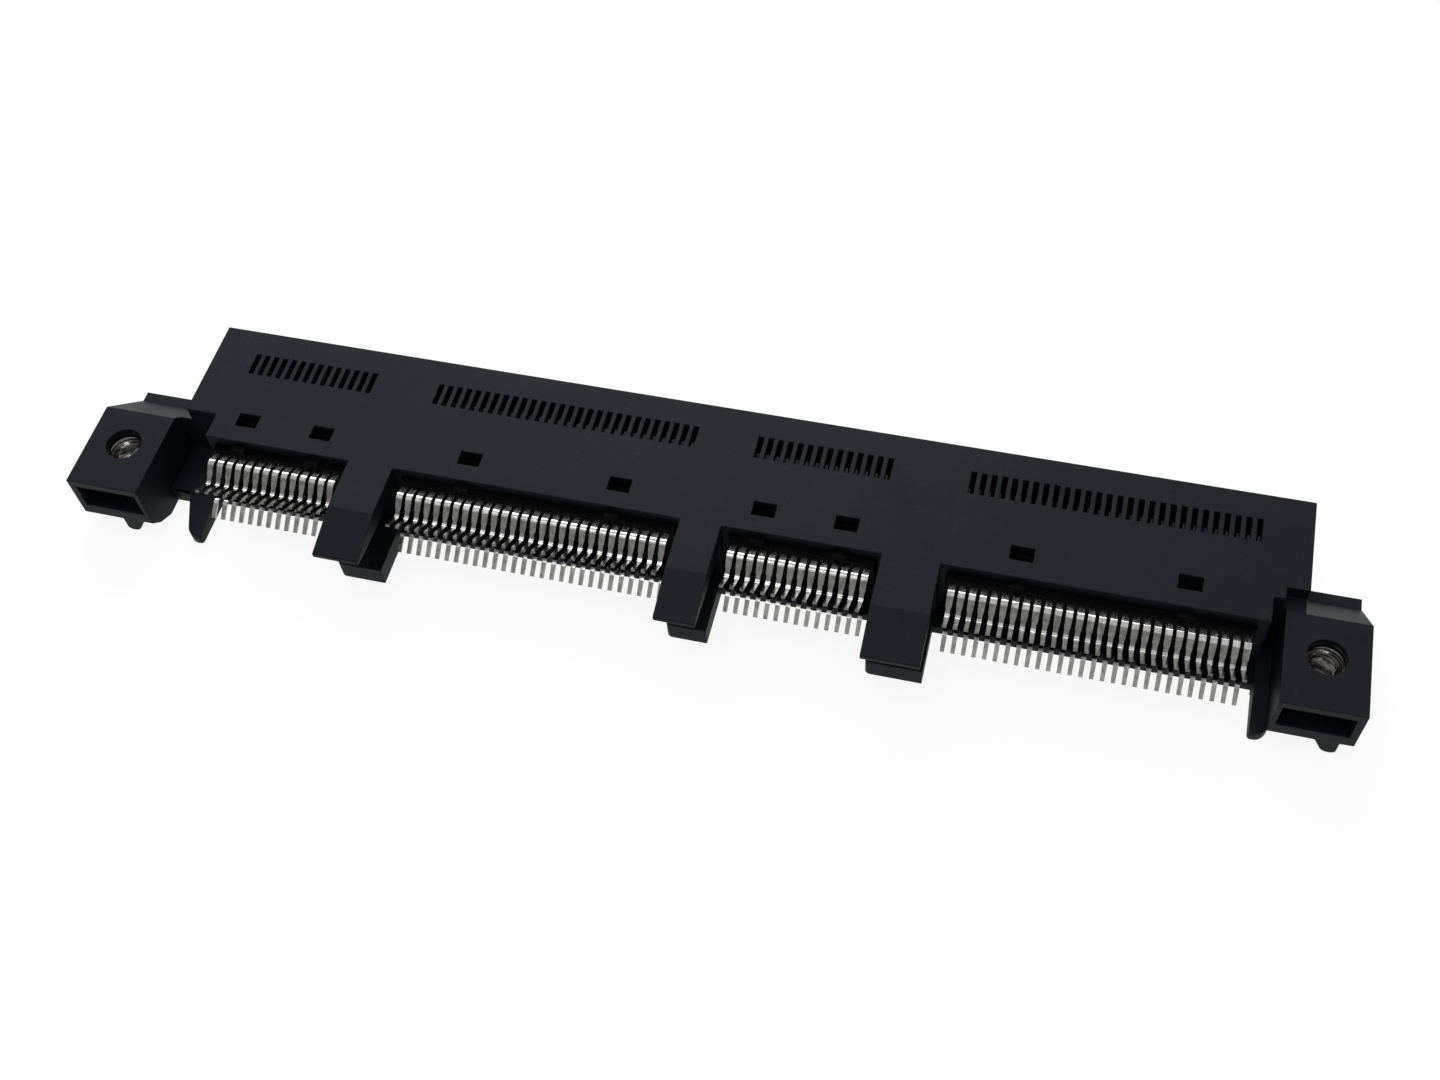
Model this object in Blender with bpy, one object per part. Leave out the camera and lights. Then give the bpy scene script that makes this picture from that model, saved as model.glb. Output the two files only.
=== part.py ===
# Straddle-mount board-to-board connector with a 0.6 mm contact pitch.
#
# One black moulding straddles the edge of a circuit board with its solder tails (towards -Y) and takes
# the edge of a second board in a slot on its far side (+Y). X runs along the connector, Z is up, and the
# origin is at the middle of the footprint, on the surface that the connector lies on.
#
# Sizes are in millimetres. Depths along Y are measured back from the mating face ("setback"), and
# heights are measured down from the top of the plate ("drop").

import math

import bpy
import bmesh

MM = 0.001

# Contact rows
PITCH = 0.6
BAY_COUNTS = (14, 28, 14, 28)
BAY_STEPS = (4.4, 4.0, 4.9)
FIRST_CONTACT_FROM_END = 8.5
LAST_CONTACT_FROM_END = 6.56

# Whole moulding
DEPTH = 14.83
HEIGHT = 5.6
WALL = 0.7
TOP_WALL_DEPTH = 8.43
BOTTOM_WALL_DEPTH = 9.63
BOARD_MID_DROP = 2.3
CARD_MID_DROP = 2.8
BODY_PAST_FIRST_CONTACT = 2.84
BODY_PAST_LAST_CONTACT = 2.98
SHOULDER_LEFT = 6.73
SHOULDER_RIGHT = 6.03
RIGHT_WELL_START = 6.8
LINK_REAR = 6.4

# Bays, the open notches between the ribs, as distances from the outer contacts of each group
BAY_MARGIN_LEFT = 0.85
BAY_MARGIN_RIGHT = 0.7
LAST_BAY_MARGIN = 1.05

# Card slot and the contact cavity behind its front wall
CARD_THICKNESS = 1.57
CARD_CLEARANCE = 0.1
CARD_MARGIN = 0.9
CARD_LEAD_IN = 0.35
FRONT_WALL = 1.65

# Slots over the contact beams, and latch windows
SLOT_SETBACK = 2.53
SLOT_LENGTH = 1.55
SLOT_WIDTH = 0.32
WINDOW_SETBACK = 6.83
WINDOW_LENGTH = 1.35
WINDOW_DEPTH = 0.95
WINDOW_OFFSETS = (2.43, 4.65, 2.43, 4.65)
WINDOW_SHIFTS = (-0.17, 0.04, -0.17, 0.04)

# Wafers: plastic bars that carry the contacts
FIT_GAP = 0.05
WAFER_MARGIN = 0.4
WAFER_FRONT = 4.65
WAFER_REAR = 8.93
WAFER_SPLIT_GAP = 0.1
LATCH_WIDTH = 1.0
LATCH_DEPTH = 0.7
LATCH_RISE = 0.35
STOP_WIDTH = 1.2
STOP_RISE = 0.5

# Contacts
CONTACT_WIDTH = 0.28
CONTACT_THICKNESS = 0.15
BEAM_TIP_SETBACK = 1.85
BEAM_TIP_DROP = 1.15
BEAM_PRESS = 0.06
CARRIER_DROP = 1.1
TAIL_LEAVES_SETBACK = 8.5
TAIL_CREST_SETBACK = 9.85
TAIL_CREST_DROP = 0.6
TAIL_FOOT_START = 10.78
TAIL_FOOT_END = 11.08
TAIL_FOOT_OVER_BOARD = 0.02
TAIL_END_SETBACK = 12.05
TAIL_END_LIFT = 0.76
LOWER_TAIL_END_SETBACK = 11.87
LOWER_TAIL_END_LIFT = 0.58
BOARD_THICKNESS = 1.57

# Ribs: a thin flange over the board and a thick arm under it
RIB_KNEE = 11.83
RIB_TIP_DROP = 0.65
RIB_TIP_THICKNESS = 0.35
RIB_FLANGE_DROP = 1.3
RIB_ARM_DROP = 4.2
RIB_ARM_END = 13.13

# End blocks
BLOCK_WIDTH = 4.65
BLOCK_DROP = 0.9
BLOCK_END = 12.78
BLOCK_FACE_BOTTOM = 4.2
BLOCK_BREAK_SETBACK = 12.15
BLOCK_BREAK_DROP = 4.95
BLOCK_CHAMFER_START = 11.05
BLOCK_TOP_BACK = 6.98
BLOCK_SLOPE_FOOT = 4.0
BLOCK_LEDGE_FRONT = 3.28
BLOCK_LEDGE_DROP = 4.0
POCKET_TOP = 1.45
POCKET_BOTTOM = 3.35
POCKET_DEPTH = 5.2
POCKET_INNER_WALL = 0.3
POCKET_OUTER_WALL = 0.45
FLOOR_DROP = 4.3
FLOOR_END = 9.93

# Screw holes and their metal inserts
SCREW_SETBACK = 9.48
SCREW_HOLE_RADIUS = 1.1
INSERT_RADIUS = 1.3
INSERT_BORE_RADIUS = 0.8
INSERT_TOP_GAP = 0.1
INSERT_BOTTOM_RECESS = 0.3
INSERT_CHAMFER = 0.15
ROUND_SIDES = 32

# Legs beside the end bays and pegs under the end blocks
LEG_ROOT_WIDTH = 1.85
LEG_TIP_WIDTH = 0.95
LEG_INSET = 0.03
LEG_END = 12.75
LEG_END_DROP = 4.75
LEG_CORNER = 0.35
PEG_SIDE_OFFSETS = (0.22, 1.59)
PEG_ROOT = 1.5
PEG_TIP = 0.75
PEG_DEPTH = 1.0
PEG_BOTTOM = 5.45

# Overlap of pieces that are fused, and overshoot of cutters
BITE = 0.2

PLASTIC = ("black_plastic", (0.028, 0.029, 0.033, 1.0), 0.0, 0.55)
WAFER_METAL = ("wafer_and_contacts", (0.62, 0.61, 0.58, 1.0), 0.6, 0.35)
INSERT_METAL = ("insert_steel", (0.72, 0.71, 0.69, 1.0), 1.0, 0.3)


# Places worked out from the sizes above

def bay_starts():
    """Distance of each bay's first contact from the connector's first contact."""
    starts = [0.0]
    for count, step in zip(BAY_COUNTS, BAY_STEPS):
        starts.append(starts[-1] + (count - 1) * PITCH + step)
    return starts


ROW_LENGTH = bay_starts()[-1] + (BAY_COUNTS[-1] - 1) * PITCH
LENGTH = FIRST_CONTACT_FROM_END + ROW_LENGTH + LAST_CONTACT_FROM_END
LEFT = -LENGTH / 2
RIGHT = LENGTH / 2
FIRST_CONTACTS = [LEFT + FIRST_CONTACT_FROM_END + start for start in bay_starts()]
LAST_CONTACTS = [first + (count - 1) * PITCH for first, count in zip(FIRST_CONTACTS, BAY_COUNTS)]
BAY_LEFTS = [first - BAY_MARGIN_LEFT for first in FIRST_CONTACTS]
BAY_RIGHTS = [last + BAY_MARGIN_RIGHT for last in LAST_CONTACTS[:-1]] + [LAST_CONTACTS[-1] + LAST_BAY_MARGIN]
BODY_LEFT = FIRST_CONTACTS[0] - BODY_PAST_FIRST_CONTACT
BODY_RIGHT = LAST_CONTACTS[-1] + BODY_PAST_LAST_CONTACT
BLOCK_SPANS = ((LEFT, LEFT + BLOCK_WIDTH), (RIGHT - BLOCK_WIDTH, RIGHT))
CARD_HALF = CARD_THICKNESS / 2 + CARD_CLEARANCE
CAVITY_TOP = WALL
CAVITY_BOTTOM = HEIGHT - WALL


def y_at(setback):
    return DEPTH / 2 - setback


def z_at(drop):
    return HEIGHT - drop


def mirrored(drop, middle):
    """The same place on the other side of a plane at the given drop."""
    return 2 * middle - drop


def contact_places(bay):
    return [FIRST_CONTACTS[bay] + index * PITCH for index in range(BAY_COUNTS[bay])]


def window_places(bay):
    middle = (FIRST_CONTACTS[bay] + LAST_CONTACTS[bay]) / 2 + WINDOW_SHIFTS[bay]
    return [middle - WINDOW_OFFSETS[bay], middle + WINDOW_OFFSETS[bay]]


# Modelling helpers

def clear_scene():
    for obj in list(bpy.data.objects):
        bpy.data.objects.remove(obj, do_unlink=True)


def make_material(name, color, metallic, roughness):
    material = bpy.data.materials.new(name)
    material.use_nodes = True
    shader = material.node_tree.nodes["Principled BSDF"]
    shader.inputs["Base Color"].default_value = color
    shader.inputs["Metallic"].default_value = metallic
    shader.inputs["Roughness"].default_value = roughness
    return material


def add_prism(bm, outline, x0, x1):
    """A solid with an outline of (setback, drop) points, extruded along X from x0 to x1."""
    corners = [bm.verts.new((x0 * MM, y_at(setback) * MM, z_at(drop) * MM)) for setback, drop in outline]
    face = bm.faces.new(corners)
    sweep = bmesh.ops.extrude_face_region(bm, geom=[face])
    moved = [item for item in sweep["geom"] if isinstance(item, bmesh.types.BMVert)]
    bmesh.ops.translate(bm, verts=moved, vec=((x1 - x0) * MM, 0, 0))


def add_box(bm, x0, x1, setback0, setback1, drop0, drop1):
    outline = ((setback0, drop0), (setback1, drop0), (setback1, drop1), (setback0, drop1))
    add_prism(bm, outline, x0, x1)


def add_peg(bm, straight_x, inward, setback0, setback1, drop0, drop1):
    """A peg with one straight side at straight_x, which tapers from its other side between two drops."""
    sections = []
    for drop, width in ((drop0, PEG_ROOT), (drop1, PEG_TIP)):
        for x in (straight_x, straight_x + inward * width):
            row = [bm.verts.new((x * MM, y_at(s) * MM, z_at(drop) * MM)) for s in (setback0, setback1)]
            sections.append(row)
    (a, b), (c, d), (e, f), (g, h) = sections
    for corners in ((a, b, d, c), (e, g, h, f), (a, e, f, b), (c, d, h, g), (a, c, g, e), (b, f, h, d)):
        bm.faces.new(corners)


def add_turned(bm, centre_x, setback, profile):
    """A solid turned about a vertical axis from a closed profile of (radius, drop) points."""
    centre_y = y_at(setback)
    rings = []
    for step in range(ROUND_SIDES):
        angle = 2 * math.pi * step / ROUND_SIDES
        ring = []
        for radius, drop in profile:
            x = centre_x + radius * math.cos(angle)
            y = centre_y + radius * math.sin(angle)
            ring.append(bm.verts.new((x * MM, y * MM, z_at(drop) * MM)))
        rings.append(ring)
    count = len(profile)
    for step in range(ROUND_SIDES):
        here = rings[step]
        after = rings[(step + 1) % ROUND_SIDES]
        for point in range(count):
            following = (point + 1) % count
            bm.faces.new((here[point], after[point], after[following], here[following]))


def add_cylinder(bm, centre_x, setback, radius, drop0, drop1):
    middle = (drop0 + drop1) / 2
    centre = (centre_x * MM, y_at(setback) * MM, z_at(middle) * MM)
    made = bmesh.ops.create_cone(bm, cap_ends=True, segments=ROUND_SIDES, radius1=radius * MM,
                                 radius2=radius * MM, depth=(drop1 - drop0) * MM)
    bmesh.ops.translate(bm, verts=made["verts"], vec=centre)


def make_object(name, bm, material=None):
    """Closes off a bmesh as an object with its faces pointing out."""
    bmesh.ops.recalc_face_normals(bm, faces=bm.faces)
    mesh = bpy.data.meshes.new(name)
    bm.to_mesh(mesh)
    bm.free()
    obj = bpy.data.objects.new(name, mesh)
    bpy.context.scene.collection.objects.link(obj)
    if material:
        mesh.materials.append(material)
    return obj


def make_helper(name, build):
    """An object that only shapes another one: build adds its solids to a bmesh."""
    bm = bmesh.new()
    build(bm)
    obj = make_object(name, bm)
    obj.hide_render = True
    obj.display_type = "WIRE"
    return obj


def combine(target, operation, helpers):
    for helper in helpers:
        modifier = target.modifiers.new(helper.name, "BOOLEAN")
        modifier.operation = operation
        modifier.solver = "EXACT"
        modifier.object = helper


# Housing

def body_outline():
    """Side outline of the walls around the card slot: the bottom wall reaches further back."""
    return ((0, 0), (TOP_WALL_DEPTH, 0), (TOP_WALL_DEPTH, CAVITY_BOTTOM), (BOTTOM_WALL_DEPTH, CAVITY_BOTTOM),
            (BOTTOM_WALL_DEPTH, HEIGHT), (0, HEIGHT))


def rib_outline():
    """Side outline of a rib: a fork whose flange lies over the board and whose arm lies under it."""
    root = WAFER_REAR
    front = TOP_WALL_DEPTH - BITE
    return ((front, 0), (RIB_KNEE, 0), (DEPTH, RIB_TIP_DROP), (DEPTH, RIB_TIP_DROP + RIB_TIP_THICKNESS),
            (RIB_KNEE, RIB_FLANGE_DROP), (root, RIB_FLANGE_DROP), (root, RIB_ARM_DROP),
            (RIB_ARM_END, RIB_ARM_DROP), (RIB_ARM_END, HEIGHT), (front, HEIGHT))


def block_outline():
    return ((BLOCK_TOP_BACK, BLOCK_DROP), (BLOCK_END, BLOCK_DROP), (BLOCK_END, BLOCK_FACE_BOTTOM),
            (BLOCK_BREAK_SETBACK, BLOCK_BREAK_DROP), (BLOCK_CHAMFER_START, HEIGHT), (BLOCK_LEDGE_FRONT, HEIGHT),
            (BLOCK_LEDGE_FRONT, BLOCK_LEDGE_DROP), (BLOCK_SLOPE_FOOT, BLOCK_LEDGE_DROP))


def slope_drop(setback):
    """Drop of the slope in front of an end block at a setback."""
    run = BLOCK_TOP_BACK - BLOCK_SLOPE_FOOT
    return BLOCK_LEDGE_DROP + (BLOCK_DROP - BLOCK_LEDGE_DROP) * (setback - BLOCK_SLOPE_FOOT) / run


def link_outline():
    """Side outline of the web that joins the left end block to the body."""
    return ((LINK_REAR, slope_drop(LINK_REAR)), (LINK_REAR, HEIGHT), (BLOCK_LEDGE_FRONT, HEIGHT),
            (BLOCK_LEDGE_FRONT, BLOCK_LEDGE_DROP), (BLOCK_SLOPE_FOOT, BLOCK_LEDGE_DROP))


def add_leg(bm, inner_x, outward):
    """A leg along the bottom: straight on its inner side, tapered on its outer side, with a cut-off corner."""
    corner_setback = LEG_END - LEG_CORNER
    stations = ((FLOOR_END - BITE, FLOOR_DROP, LEG_ROOT_WIDTH), (corner_setback, LEG_END_DROP, LEG_TIP_WIDTH),
                (LEG_END, LEG_END_DROP, LEG_TIP_WIDTH - LEG_CORNER))
    rings = []
    for setback, drop, width in stations:
        outer_x = inner_x + outward * width
        corners = ((inner_x, drop), (outer_x, drop), (outer_x, HEIGHT), (inner_x, HEIGHT))
        rings.append([bm.verts.new((x * MM, y_at(setback) * MM, z_at(d) * MM)) for x, d in corners])
    bm.faces.new(rings[0])
    bm.faces.new(rings[-1])
    for here, after in zip(rings, rings[1:]):
        for corner in range(4):
            following = (corner + 1) % 4
            bm.faces.new((here[corner], here[following], after[following], after[corner]))


def build_ribs(bm):
    for bay in range(len(BAY_COUNTS) - 1):
        add_prism(bm, rib_outline(), BAY_RIGHTS[bay], BAY_LEFTS[bay + 1])


def build_blocks(bm):
    for x0, x1 in BLOCK_SPANS:
        add_prism(bm, block_outline(), x0, x1)


def build_link(bm):
    add_prism(bm, link_outline(), BLOCK_SPANS[0][1] - BITE, BODY_LEFT + BITE)


def build_floors(bm):
    add_box(bm, BLOCK_SPANS[0][1] - BITE, BAY_LEFTS[0], BLOCK_LEDGE_FRONT + BITE, FLOOR_END, FLOOR_DROP, HEIGHT)
    add_box(bm, BAY_RIGHTS[-1], BLOCK_SPANS[1][0] + BITE, BLOCK_LEDGE_FRONT + BITE, FLOOR_END, FLOOR_DROP, HEIGHT)


def build_legs(bm):
    add_leg(bm, BAY_LEFTS[0] - LEG_INSET, -1)
    add_leg(bm, BAY_RIGHTS[-1] + LEG_INSET, 1)


def block_middle(side):
    return sum(BLOCK_SPANS[side]) / 2


def build_pegs(bm):
    near = BLOCK_END - FIT_GAP
    for side, inward in ((0, 1), (1, -1)):
        straight_x = block_middle(side) + PEG_SIDE_OFFSETS[side]
        add_peg(bm, straight_x, inward, near - PEG_DEPTH, near, BLOCK_FACE_BOTTOM - BITE, PEG_BOTTOM)


def cut_corners(bm):
    """Clears the plate's rear corners, down to the blocks' tops and into the wells beside them."""
    past = BITE
    add_box(bm, BODY_LEFT - past, BAY_LEFTS[0], SHOULDER_LEFT, TOP_WALL_DEPTH + past, -past, FLOOR_DROP)
    add_box(bm, BAY_RIGHTS[-1], BLOCK_SPANS[1][0], RIGHT_WELL_START, TOP_WALL_DEPTH + past, -past, FLOOR_DROP)


def cut_right_shoulder(bm):
    add_box(bm, BLOCK_SPANS[1][0] - BITE, BODY_RIGHT + BITE, SHOULDER_RIGHT, TOP_WALL_DEPTH + BITE, -BITE, BLOCK_DROP)


def cut_wafer_pockets(bm):
    margin = WAFER_MARGIN + FIT_GAP
    for first, last in zip(FIRST_CONTACTS, LAST_CONTACTS):
        add_box(bm, first - margin, last + margin, FRONT_WALL, BOTTOM_WALL_DEPTH + BITE, CAVITY_TOP, CAVITY_BOTTOM)


def cut_card_slots(bm):
    """Card slots with a chamfered mouth, from the mating face to the contact cavities."""
    top = CARD_MID_DROP - CARD_HALF
    bottom = CARD_MID_DROP + CARD_HALF
    outline = ((-BITE, top - CARD_LEAD_IN - BITE), (CARD_LEAD_IN, top), (WAFER_FRONT - FIT_GAP, top),
               (WAFER_FRONT - FIT_GAP, bottom), (CARD_LEAD_IN, bottom), (-BITE, bottom + CARD_LEAD_IN + BITE))
    for first, last in zip(FIRST_CONTACTS, LAST_CONTACTS):
        add_prism(bm, outline, first - CARD_MARGIN, last + CARD_MARGIN)


def cut_contact_slots(bm):
    near = SLOT_SETBACK + SLOT_LENGTH / 2
    far = SLOT_SETBACK - SLOT_LENGTH / 2
    for bay in range(len(BAY_COUNTS)):
        for x in contact_places(bay):
            add_box(bm, x - SLOT_WIDTH / 2, x + SLOT_WIDTH / 2, far, near, -BITE, CAVITY_TOP + BITE)


def cut_windows(bm):
    """Latch windows through the top wall and through the bottom wall."""
    near = WINDOW_SETBACK + WINDOW_DEPTH / 2
    far = WINDOW_SETBACK - WINDOW_DEPTH / 2
    half = WINDOW_LENGTH / 2
    for bay in range(len(BAY_COUNTS)):
        for x in window_places(bay):
            add_box(bm, x - half, x + half, far, near, -BITE, CAVITY_TOP + BITE)
            add_box(bm, x - half, x + half, far, near, CAVITY_BOTTOM - BITE, HEIGHT + BITE)


def cut_board_pockets(bm):
    """Pockets in the end blocks for the ears of the board, open towards -Y."""
    for side, (x0, x1) in enumerate(BLOCK_SPANS):
        outer_first = side == 0
        left_wall = POCKET_OUTER_WALL if outer_first else POCKET_INNER_WALL
        right_wall = POCKET_INNER_WALL if outer_first else POCKET_OUTER_WALL
        add_box(bm, x0 + left_wall, x1 - right_wall, BLOCK_END - POCKET_DEPTH, BLOCK_END + BITE,
                POCKET_TOP, POCKET_BOTTOM)


def cut_screw_holes(bm):
    for side in (0, 1):
        add_cylinder(bm, block_middle(side), SCREW_SETBACK, SCREW_HOLE_RADIUS, BLOCK_DROP - BITE, POCKET_TOP + BITE)


def cut_insert_bores(bm):
    for side in (0, 1):
        add_cylinder(bm, block_middle(side), SCREW_SETBACK, INSERT_RADIUS + FIT_GAP, POCKET_BOTTOM - BITE,
                     HEIGHT + BITE)


def make_housing(material):
    bm = bmesh.new()
    add_prism(bm, body_outline(), BODY_LEFT, BODY_RIGHT)
    housing = make_object("housing", bm, material)
    combine(housing, "DIFFERENCE", [make_helper("corner_cutter", cut_corners)])
    additions = [make_helper("rib_shapes", build_ribs), make_helper("block_shapes", build_blocks),
                 make_helper("link_shape", build_link), make_helper("floor_shapes", build_floors),
                 make_helper("leg_shapes", build_legs), make_helper("peg_shapes", build_pegs)]
    combine(housing, "UNION", additions)
    cuts = [make_helper("shoulder_cutter", cut_right_shoulder), make_helper("pocket_cutter", cut_wafer_pockets),
            make_helper("card_slot_cutter", cut_card_slots), make_helper("contact_slot_cutter", cut_contact_slots),
            make_helper("window_cutter", cut_windows), make_helper("board_pocket_cutter", cut_board_pockets),
            make_helper("screw_hole_cutter", cut_screw_holes), make_helper("insert_bore_cutter", cut_insert_bores)]
    combine(housing, "DIFFERENCE", cuts)
    return housing


# Contact wafers

def contact_path(upper):
    """Middle line of a contact as (setback, drop) points, from the tip of its beam to the end of its tail."""
    press_drop = CARD_MID_DROP - CARD_THICKNESS / 2 + BEAM_PRESS
    foot_drop = BOARD_MID_DROP - BOARD_THICKNESS / 2 - TAIL_FOOT_OVER_BOARD - CONTACT_THICKNESS / 2
    beam = [(BEAM_TIP_SETBACK, BEAM_TIP_DROP), (SLOT_SETBACK, press_drop),
            (WAFER_FRONT + LATCH_DEPTH, CARRIER_DROP)]
    tail = [(TAIL_LEAVES_SETBACK, CARRIER_DROP), (TAIL_CREST_SETBACK, TAIL_CREST_DROP),
            (TAIL_FOOT_START, foot_drop), (TAIL_FOOT_END, foot_drop),
            (TAIL_END_SETBACK, foot_drop - TAIL_END_LIFT)]
    if upper:
        return beam + tail
    lower_beam = [(setback, mirrored(drop, CARD_MID_DROP)) for setback, drop in beam]
    carrier_end = (TAIL_LEAVES_SETBACK, mirrored(CARRIER_DROP, CARD_MID_DROP))
    lower_end = (LOWER_TAIL_END_SETBACK, foot_drop - LOWER_TAIL_END_LIFT)
    lower_tail = [(setback, mirrored(drop, BOARD_MID_DROP)) for setback, drop in tail[1:-1] + [lower_end]]
    return lower_beam + [carrier_end] + lower_tail


def ribbon_outline(path, thickness):
    """Outline of a strip of constant thickness along a path, with mitred corners."""
    sides = ([], [])
    for index, (setback, drop) in enumerate(path):
        before = path[max(index - 1, 0)]
        after = path[min(index + 1, len(path) - 1)]
        normals = []
        for start, end in ((before, (setback, drop)), ((setback, drop), after)):
            run = math.hypot(end[0] - start[0], end[1] - start[1])
            if run > 0:
                normals.append((-(end[1] - start[1]) / run, (end[0] - start[0]) / run))
        mean = [sum(axis) / len(normals) for axis in zip(*normals)]
        stretch = thickness / 2 / (mean[0] * mean[0] + mean[1] * mean[1])
        sides[0].append((setback + mean[0] * stretch, drop + mean[1] * stretch))
        sides[1].append((setback - mean[0] * stretch, drop - mean[1] * stretch))
    return sides[0] + sides[1][::-1]


def bar_drops(upper):
    """Top and bottom of a wafer's bar."""
    split = CARD_MID_DROP - WAFER_SPLIT_GAP / 2
    drops = (CAVITY_TOP + FIT_GAP, split)
    if upper:
        return drops
    return mirrored(drops[1], CARD_MID_DROP), mirrored(drops[0], CARD_MID_DROP)


def build_bar(bm, bay, upper):
    top, bottom = bar_drops(upper)
    add_box(bm, FIRST_CONTACTS[bay] - WAFER_MARGIN, LAST_CONTACTS[bay] + WAFER_MARGIN, WAFER_FRONT, WAFER_REAR,
            top, bottom)


def build_latches(bm, bay, upper):
    """Wedges that snap into the windows, and stops that meet the wall's rear edge."""
    inset = BITE
    catch = WINDOW_SETBACK + WINDOW_DEPTH / 2 - FIT_GAP
    wedge = [(catch - LATCH_DEPTH, CAVITY_TOP + FIT_GAP), (catch, CAVITY_TOP + FIT_GAP - LATCH_RISE),
             (catch, CAVITY_TOP + FIT_GAP + inset), (catch - LATCH_DEPTH, CAVITY_TOP + FIT_GAP + inset)]
    stop_top = CAVITY_TOP + FIT_GAP - STOP_RISE
    stop = [(TOP_WALL_DEPTH + FIT_GAP, stop_top), (WAFER_REAR, stop_top), (WAFER_REAR, CAVITY_TOP + inset),
            (TOP_WALL_DEPTH + FIT_GAP, CAVITY_TOP + inset)]
    if not upper:
        wedge = [(setback, mirrored(drop, CARD_MID_DROP)) for setback, drop in wedge]
    for x in window_places(bay):
        add_prism(bm, wedge, x - LATCH_WIDTH / 2, x + LATCH_WIDTH / 2)
        if upper:
            add_prism(bm, stop, x - STOP_WIDTH / 2, x + STOP_WIDTH / 2)


def build_contacts(bm, bay, upper):
    outline = ribbon_outline(contact_path(upper), CONTACT_THICKNESS)
    for x in contact_places(bay):
        add_prism(bm, outline, x - CONTACT_WIDTH / 2, x + CONTACT_WIDTH / 2)


def make_wafer(bay, upper, material):
    row = "upper" if upper else "lower"
    name = f"{row}_wafer_{bay + 1}"
    bm = bmesh.new()
    build_bar(bm, bay, upper)
    wafer = make_object(name, bm, material)
    latches = make_helper(f"{name}_latch_shapes", lambda b: build_latches(b, bay, upper))
    contacts = make_helper(f"{name}_contact_shapes", lambda b: build_contacts(b, bay, upper))
    combine(wafer, "UNION", [latches, contacts])
    return wafer


# Metal inserts

def make_insert(side, material):
    """A threaded sleeve in the lower arm of an end block, standing up to just under the screw hole."""
    top = POCKET_TOP + INSERT_TOP_GAP
    bottom = HEIGHT - INSERT_BOTTOM_RECESS
    bevel = INSERT_CHAMFER
    profile = ((INSERT_RADIUS - bevel, top), (INSERT_RADIUS, top + bevel), (INSERT_RADIUS, bottom),
               (INSERT_BORE_RADIUS, bottom), (INSERT_BORE_RADIUS, top + bevel), (INSERT_BORE_RADIUS + bevel, top))
    bm = bmesh.new()
    add_turned(bm, block_middle(side), SCREW_SETBACK, profile)
    name = "left_insert" if side == 0 else "right_insert"
    insert = make_object(name, bm, material)
    insert.data.shade_smooth()
    insert.data.set_sharp_from_angle(angle=math.radians(30))
    return insert


def main():
    clear_scene()
    plastic = make_material(*PLASTIC)
    wafer_metal = make_material(*WAFER_METAL)
    insert_metal = make_material(*INSERT_METAL)
    make_housing(plastic)
    for bay in range(len(BAY_COUNTS)):
        for upper in (True, False):
            make_wafer(bay, upper, wafer_metal)
    for side in (0, 1):
        make_insert(side, insert_metal)


main()
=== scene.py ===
import math

import bmesh
import bpy
from mathutils import Matrix, Vector


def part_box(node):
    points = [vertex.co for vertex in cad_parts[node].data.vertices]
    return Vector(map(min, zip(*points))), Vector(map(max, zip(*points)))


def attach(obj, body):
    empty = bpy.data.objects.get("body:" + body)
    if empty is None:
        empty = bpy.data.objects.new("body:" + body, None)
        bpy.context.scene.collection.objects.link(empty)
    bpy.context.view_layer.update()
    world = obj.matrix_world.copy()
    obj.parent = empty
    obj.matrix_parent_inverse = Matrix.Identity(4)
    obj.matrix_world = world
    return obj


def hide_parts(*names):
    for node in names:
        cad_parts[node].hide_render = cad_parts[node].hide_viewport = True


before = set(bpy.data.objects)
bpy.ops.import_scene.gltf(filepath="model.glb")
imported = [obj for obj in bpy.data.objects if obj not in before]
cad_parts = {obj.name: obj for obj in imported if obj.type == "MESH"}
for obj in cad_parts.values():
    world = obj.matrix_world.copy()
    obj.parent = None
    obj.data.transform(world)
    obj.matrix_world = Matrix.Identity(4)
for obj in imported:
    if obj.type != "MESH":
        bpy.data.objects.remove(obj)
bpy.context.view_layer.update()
print("frame loaded:", len(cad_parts), "nodes")

mm = 0.001    # the shapes below are worked out in millimetres


def addPiece(name, bm, material, standsFor, sharpAngle=40):
    # the finished mesh as an object that rides with the CAD and hides the nodes it stands for
    bmesh.ops.scale(bm, vec=(mm, mm, mm), verts=bm.verts)
    bmesh.ops.recalc_face_normals(bm, faces=bm.faces)
    for face in bm.faces:
        face.smooth = True
    for edge in bm.edges:    # an edge that is sharp already stays so
        edge.smooth = edge.smooth and edge.calc_face_angle(0) <= math.radians(sharpAngle)
    mesh = bpy.data.meshes.new(name)
    bm.to_mesh(mesh)
    bm.free()
    mesh.materials.append(material)
    piece = bpy.data.objects.new(name, mesh)
    bpy.context.scene.collection.objects.link(piece)
    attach(piece, "root")
    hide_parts(*standsFor)
    return piece


def addBlock(bm, x, y, z):
    # a box between two values on each axis; gives back its corners
    corners = bmesh.ops.create_cube(bm, size=1)["verts"]
    size = (x[1] - x[0], y[1] - y[0], z[1] - z[0])
    middle = ((x[0] + x[1]) / 2, (y[0] + y[1]) / 2, (z[0] + z[1]) / 2)
    bmesh.ops.scale(bm, vec=size, verts=corners)
    bmesh.ops.translate(bm, vec=middle, verts=corners)
    return corners


def softenCorners(bm, edges, size, segments):
    bmesh.ops.bevel(bm, geom=edges, offset=size, offset_type="OFFSET", segments=segments,
                    profile=0.5, affect="EDGES", clamp_overlap=False, material=-1)


def evenOut(piece):
    # flat faces stay flat beside their rounded edges
    finish = piece.modifiers.new("evenNormals", "WEIGHTED_NORMAL")
    finish.weight = 80
    finish.keep_sharp = True


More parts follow.
